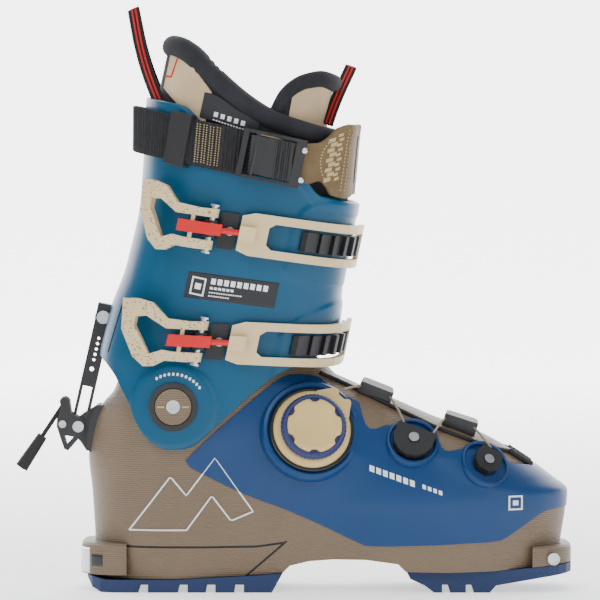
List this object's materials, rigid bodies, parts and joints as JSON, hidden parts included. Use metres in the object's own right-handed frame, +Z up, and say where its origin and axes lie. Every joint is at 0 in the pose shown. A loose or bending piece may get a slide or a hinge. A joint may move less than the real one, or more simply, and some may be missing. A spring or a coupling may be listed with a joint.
{
  "type": "alpine touring ski boot",
  "caption": "Right alpine touring ski boot: leaning buckled cuff on a lower shell, lace dial, power strap, walk lever and padded liner.",
  "frame": {"origin": "on the heel sole's flat underside, straight below the ankle pivot, in the middle of the sole's width", "axes": "+X to the toe, +Y to the medial (inner) side, +Z up the leg"},
  "size_m": [0.3529, 0.1333, 0.3698],
  "materials": {
    "taupe_plastic": "fine horizontal lines, matte",
    "blue_plastic": "satin",
    "teal_plastic": "satin, slightly glossy",
    "sole_rubber": "moulded tread rubber",
    "cream_metal": "painted, dark speckles on the levers",
    "cream_plastic": "smooth, matte",
    "red_metal": "painted",
    "footbed_foam": "soft foam with a fabric cover",
    "black_plastic": "matte",
    "black_rubber": "matte",
    "black_webbing": "ribbed webbing",
    "liner_fabric": "knit and foam",
    "steel": "brushed",
    "black_steel": "black, satin"
  },
  "bodies": {
    "shell": {"lower_shell": "taupe_plastic", "toe_insert": "steel", "heel_insert": "steel", "heel_sole": "sole_rubber", "toe_sole": "sole_rubber", "boot_board": "black_plastic", "liner_foot": "liner_fabric", "footbed": "footbed_foam", "pivot_cap_lateral": "taupe_plastic", "pivot_screw_lateral": "steel", "pivot_cap_medial": "taupe_plastic", "pivot_screw_medial": "steel", "latch_bracket": "black_steel", "latch_pin": "steel", "dial_base": "black_plastic", "dial_housing": "cream_plastic", "side_guide_rear": "black_plastic", "guide_screw_rear": "steel", "instep_guide_rear": "black_plastic", "side_guide_front": "black_plastic", "guide_screw_front": "steel", "instep_guide_front": "black_plastic", "lace": "cream_plastic", "forefoot_shell": "blue_plastic", "instep_flap": "taupe_plastic"},
    "cuff": {"cuff": "teal_plastic", "pivot_ring_lateral": "black_plastic", "pivot_ring_medial": "black_plastic", "upper_base": "black_plastic", "upper_rivet": "steel", "upper_hinge_pin": "steel", "upper_rack": "black_plastic", "lower_base": "black_plastic", "lower_rivet": "steel", "lower_hinge_pin": "steel", "lower_rack": "black_plastic", "strap_webbing": "black_webbing", "strap_panel": "taupe_plastic", "strap_keeper": "black_rubber", "strap_cam_frame": "black_steel", "liner_tongue": "liner_fabric", "liner_shaft": "liner_fabric", "rear_loop": "black_webbing", "front_loop": "black_webbing", "spine_clevis": "black_plastic", "spine_screw": "steel"},
    "upper_lever": {"upper_lever": "cream_metal"},
    "upper_bail": {"upper_barrel": "red_metal", "upper_bail": "cream_metal"},
    "lower_lever": {"lower_lever": "cream_metal"},
    "lower_bail": {"lower_barrel": "red_metal", "lower_bail": "cream_metal"},
    "strap_cam": {"strap_cam_lever": "black_plastic"},
    "spine_bar": {"spine_bar": "black_steel"},
    "walk_lever": {"walk_lever": "black_steel", "lock_pin": "steel"},
    "pull_tab": {"pull_tab": "black_rubber"},
    "dial_hub": {"dial_hub": "steel"},
    "dial_knob": {"dial_grip": "black_rubber", "dial_cap": "cream_plastic"}
  },
  "joints": [
    {"name": "cuff_lean", "type": "hinge", "parent": "shell", "child": "cuff", "pos_m": [0, 0, 0.1184], "axis": [0, 1, 0], "range_deg": [-18, 5]},
    {"name": "spine_swing", "type": "hinge", "parent": "cuff", "child": "spine_bar", "pos_m": [-0.0455, 0, 0.1725], "axis": [0, 1, 0], "range_deg": [-2.2, 7.2]},
    {"name": "walk_lever_swing", "type": "hinge", "parent": "shell", "child": "walk_lever", "pos_m": [-0.0615, 0, 0.103], "axis": [0, -1, 0], "range_deg": [0, 35]},
    {"name": "pull_tab_swing", "type": "hinge", "parent": "walk_lever", "child": "pull_tab", "pos_m": [-0.07, 0, 0.1185], "axis": [0, 1, 0], "range_deg": [0, 110]},
    {"name": "upper_lever_open", "type": "hinge", "parent": "cuff", "child": "upper_lever", "pos_m": [0.02355, -0.06184, 0.2303], "axis": [0.2079, 0, 0.9781], "range_deg": [0, 130]},
    {"name": "upper_bail_swing", "type": "hinge", "parent": "upper_lever", "child": "upper_bail", "pos_m": [0.01175, -0.06305, 0.232], "axis": [0.2079, 0, 0.9781], "range_deg": [-151, 0]},
    {"name": "lower_lever_open", "type": "hinge", "parent": "cuff", "child": "lower_lever", "pos_m": [0.01668, -0.05852, 0.15996], "axis": [0.2079, 0, 0.9781], "range_deg": [0, 130]},
    {"name": "lower_bail_swing", "type": "hinge", "parent": "lower_lever", "child": "lower_bail", "pos_m": [0.00496, -0.06008, 0.16053], "axis": [0.2079, 0, 0.9781], "range_deg": [-151, 0]},
    {"name": "strap_cam_flip", "type": "hinge", "parent": "cuff", "child": "strap_cam", "pos_m": [0.05083, -0.06527, 0.27603], "axis": [-0.2079, 0, -0.9781], "range_deg": [0, 60]},
    {"name": "dial_pull", "type": "slide", "parent": "shell", "child": "dial_hub", "axis": [0.1308, -0.9562, 0.2617], "range_m": [0, 0.004]},
    {"name": "dial_turn", "type": "hinge", "parent": "dial_hub", "child": "dial_knob", "pos_m": [0.0866, -0.048, 0.1037], "axis": [0.1308, -0.9562, 0.2617], "range_deg": [-540, 540]}
  ],
  "couplings": [
    {"joint": "spine_swing", "follows": "cuff_lean", "ratio": -0.385},
    {"joint": "upper_bail_swing", "follows": "upper_lever_open", "ratio": -1.15},
    {"joint": "lower_bail_swing", "follows": "lower_lever_open", "ratio": -1.15}
  ]
}
